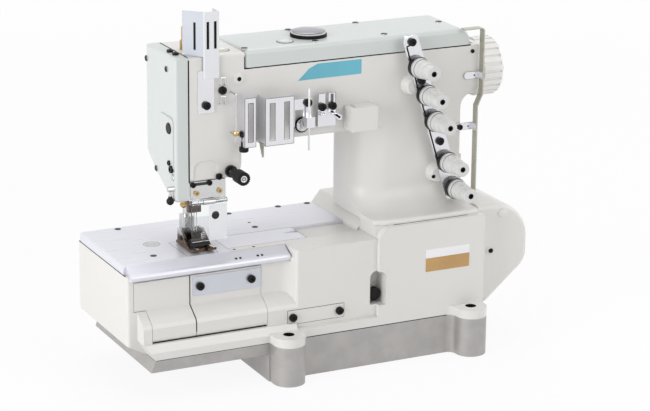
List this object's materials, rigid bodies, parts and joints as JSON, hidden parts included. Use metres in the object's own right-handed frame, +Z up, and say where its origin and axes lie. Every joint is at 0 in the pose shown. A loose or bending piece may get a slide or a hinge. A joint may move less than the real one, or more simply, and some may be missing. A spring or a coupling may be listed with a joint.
{
  "type": "interlock sewing machine head",
  "caption": "Flat-bed interlock (coverstitch) sewing machine head with oil pan base, looper covers, thread tension knobs and handwheel.",
  "frame": {"origin": "centre of the four foot holes, on the plane the oil pan stands on", "axes": "+X along the bed to the handwheel end, +Y from the operator to the back, +Z up"},
  "size_m": [0.544, 0.244, 0.453],
  "materials": {
    "cream_paint": "satin enamel over a casting",
    "cast_aluminium": "bare casting",
    "ground_steel": "ground and polished",
    "bright_steel": "bright",
    "dark_steel": "oiled",
    "black_oxide": "black",
    "knob_metal": "turned",
    "brass": "bright",
    "belt_rubber": "moulded",
    "clear_guard": "clear, part frosted",
    "window_plastic": "clear cap in a dark rim"
  },
  "bodies": {
    "frame": {"arm_casting": "cream_paint", "arm_top_cover": "cream_paint", "bearing_bushes": "brass", "bed_casting": "cream_paint", "black_screws": "black_oxide", "brass_screws": "brass", "cloth_plate": "ground_steel", "eye_guard_holder": "bright_steel", "face_cover": "cream_paint", "front_edge_bar": "ground_steel", "guide_box": "cream_paint", "guide_brackets": "bright_steel", "guide_plates": "bright_steel", "guide_wires": "bright_steel", "hinge_pins": "bright_steel", "needle_plate": "ground_steel", "oil_pan": "cast_aluminium", "oil_window": "window_plastic", "pulley_cover": "cream_paint", "side_plate": "cream_paint", "steel_screws": "bright_steel", "strip_guard": "bright_steel", "take_up_base": "cream_paint", "take_up_guard": "bright_steel", "tension_bracket": "bright_steel", "tension_discs": "bright_steel", "tension_posts": "bright_steel", "timing_belt": "belt_rubber"},
    "main_shaft": {"upper_shaft": "dark_steel", "needle_crank": "dark_steel", "upper_belt_wheel": "dark_steel", "handwheel": "cream_paint"},
    "link": {"needle_link": "dark_steel"},
    "lower_shaft": {"lower_shaft": "dark_steel", "lower_belt_wheel": "dark_steel", "drive_pulley": "dark_steel"},
    "needle_bar": {"needle_bar": "bright_steel", "needle_driver": "dark_steel", "needle_clamp": "bright_steel", "needles": "bright_steel", "thread_take_up": "bright_steel"},
    "presser_bar": {"presser_bar": "bright_steel", "presser_foot": "bright_steel"},
    "presser_regulator": {"presser_regulator": "brass"},
    "left_cover": {"left_front_cover": "cream_paint"},
    "right_cover": {"right_front_cover": "cream_paint", "cover_strip": "ground_steel", "cover_screws": "black_oxide"},
    "slide_plate": {"slide_plate": "ground_steel"},
    "push_button": {"push_button": "black_oxide"},
    "looper": {"looper_rocker": "bright_steel"},
    "feed_dog": {"feed_dog": "bright_steel"},
    "small_lever": {"small_lever": "bright_steel"},
    "eye_guard": {"eye_guard": "clear_guard"},
    "spreader_knob": {"spreader_knob": "black_oxide"},
    "tension_knob_1": {"tension_knob_1": "knob_metal"},
    "tension_knob_2": {"tension_knob_2": "knob_metal"},
    "tension_knob_3": {"tension_knob_3": "knob_metal"},
    "tension_knob_4": {"tension_knob_4": "knob_metal"},
    "tension_knob_5": {"tension_knob_5": "knob_metal"}
  },
  "joints": [
    {"name": "main_shaft_turn", "type": "hinge", "parent": "frame", "child": "main_shaft", "pos_m": [0, 0.001, 0.3415], "axis": [1, 0, 0], "continuous": true},
    {"name": "link_turn", "type": "hinge", "parent": "main_shaft", "child": "link", "pos_m": [-0.205, 0.001, 0.3565], "axis": [1, 0, 0], "continuous": true},
    {"name": "lower_shaft_turn", "type": "hinge", "parent": "frame", "child": "lower_shaft", "pos_m": [0, 0.001, 0.109], "axis": [1, 0, 0], "continuous": true},
    {"name": "needle_bar_slide", "type": "slide", "parent": "frame", "child": "needle_bar", "axis": [0, 0, 1], "range_m": [-0.03, 0]},
    {"name": "presser_lift", "type": "slide", "parent": "frame", "child": "presser_bar", "axis": [0, 0, 1], "range_m": [0, 0.006], "stiffness_N_per_m": 1500},
    {"name": "presser_regulator_turn", "type": "hinge", "parent": "frame", "child": "presser_regulator", "pos_m": [-0.2135, 0.007, 0.405], "axis": [0, 0, 1], "continuous": true},
    {"name": "left_cover_hinge", "type": "hinge", "parent": "frame", "child": "left_cover", "pos_m": [-0.2655, -0.0785, 0.0755], "axis": [1, 0, 0], "range_deg": [0, 80]},
    {"name": "right_cover_hinge", "type": "hinge", "parent": "frame", "child": "right_cover", "pos_m": [-0.1965, -0.0785, 0.0755], "axis": [1, 0, 0], "range_deg": [0, 80]},
    {"name": "slide_plate_slide", "type": "slide", "parent": "frame", "child": "slide_plate", "axis": [1, 0, 0], "range_m": [0, 0.066]},
    {"name": "push_button_press", "type": "slide", "parent": "frame", "child": "push_button", "axis": [0, 1, 0], "range_m": [0, 0.006], "stiffness_N_per_m": 400},
    {"name": "looper_rock", "type": "hinge", "parent": "frame", "child": "looper", "pos_m": [-0.1705, -0.015, 0.092], "axis": [0, 1, 0], "range_deg": [-10, 10]},
    {"name": "feed_slide", "type": "slide", "parent": "frame", "child": "feed_dog", "axis": [0, 1, 0], "range_m": [-0.002, 0.002]},
    {"name": "small_lever_swing", "type": "hinge", "parent": "frame", "child": "small_lever", "pos_m": [-0.2505, -0.0315, 0.24], "axis": [1, 0, 0], "range_deg": [-20, 20]},
    {"name": "eye_guard_hinge", "type": "hinge", "parent": "frame", "child": "eye_guard", "pos_m": [-0.2025, -0.0383, 0.221], "axis": [-1, 0, 0], "range_deg": [0, 70]},
    {"name": "spreader_knob_turn", "type": "hinge", "parent": "frame", "child": "spreader_knob", "pos_m": [-0.175, -0.07, 0.256], "axis": [0, -1, 0], "continuous": true},
    {"name": "tension_knob_1_turn", "type": "hinge", "parent": "frame", "child": "tension_knob_1", "pos_m": [0.0695, -0.075, 0.363], "axis": [0, -1, 0], "continuous": true},
    {"name": "tension_knob_2_turn", "type": "hinge", "parent": "frame", "child": "tension_knob_2", "pos_m": [0.08204, -0.075, 0.32694], "axis": [0, -1, 0], "continuous": true},
    {"name": "tension_knob_3_turn", "type": "hinge", "parent": "frame", "child": "tension_knob_3", "pos_m": [0.09403, -0.075, 0.29248], "axis": [0, -1, 0], "continuous": true},
    {"name": "tension_knob_4_turn", "type": "hinge", "parent": "frame", "child": "tension_knob_4", "pos_m": [0.11307, -0.075, 0.23774], "axis": [0, -1, 0], "continuous": true},
    {"name": "tension_knob_5_turn", "type": "hinge", "parent": "frame", "child": "tension_knob_5", "pos_m": [0.1255, -0.075, 0.202], "axis": [0, -1, 0], "continuous": true}
  ],
  "couplings": [
    {"joint": "link_turn", "follows": "main_shaft_turn", "ratio": -1},
    {"joint": "lower_shaft_turn", "follows": "main_shaft_turn", "ratio": 1}
  ]
}
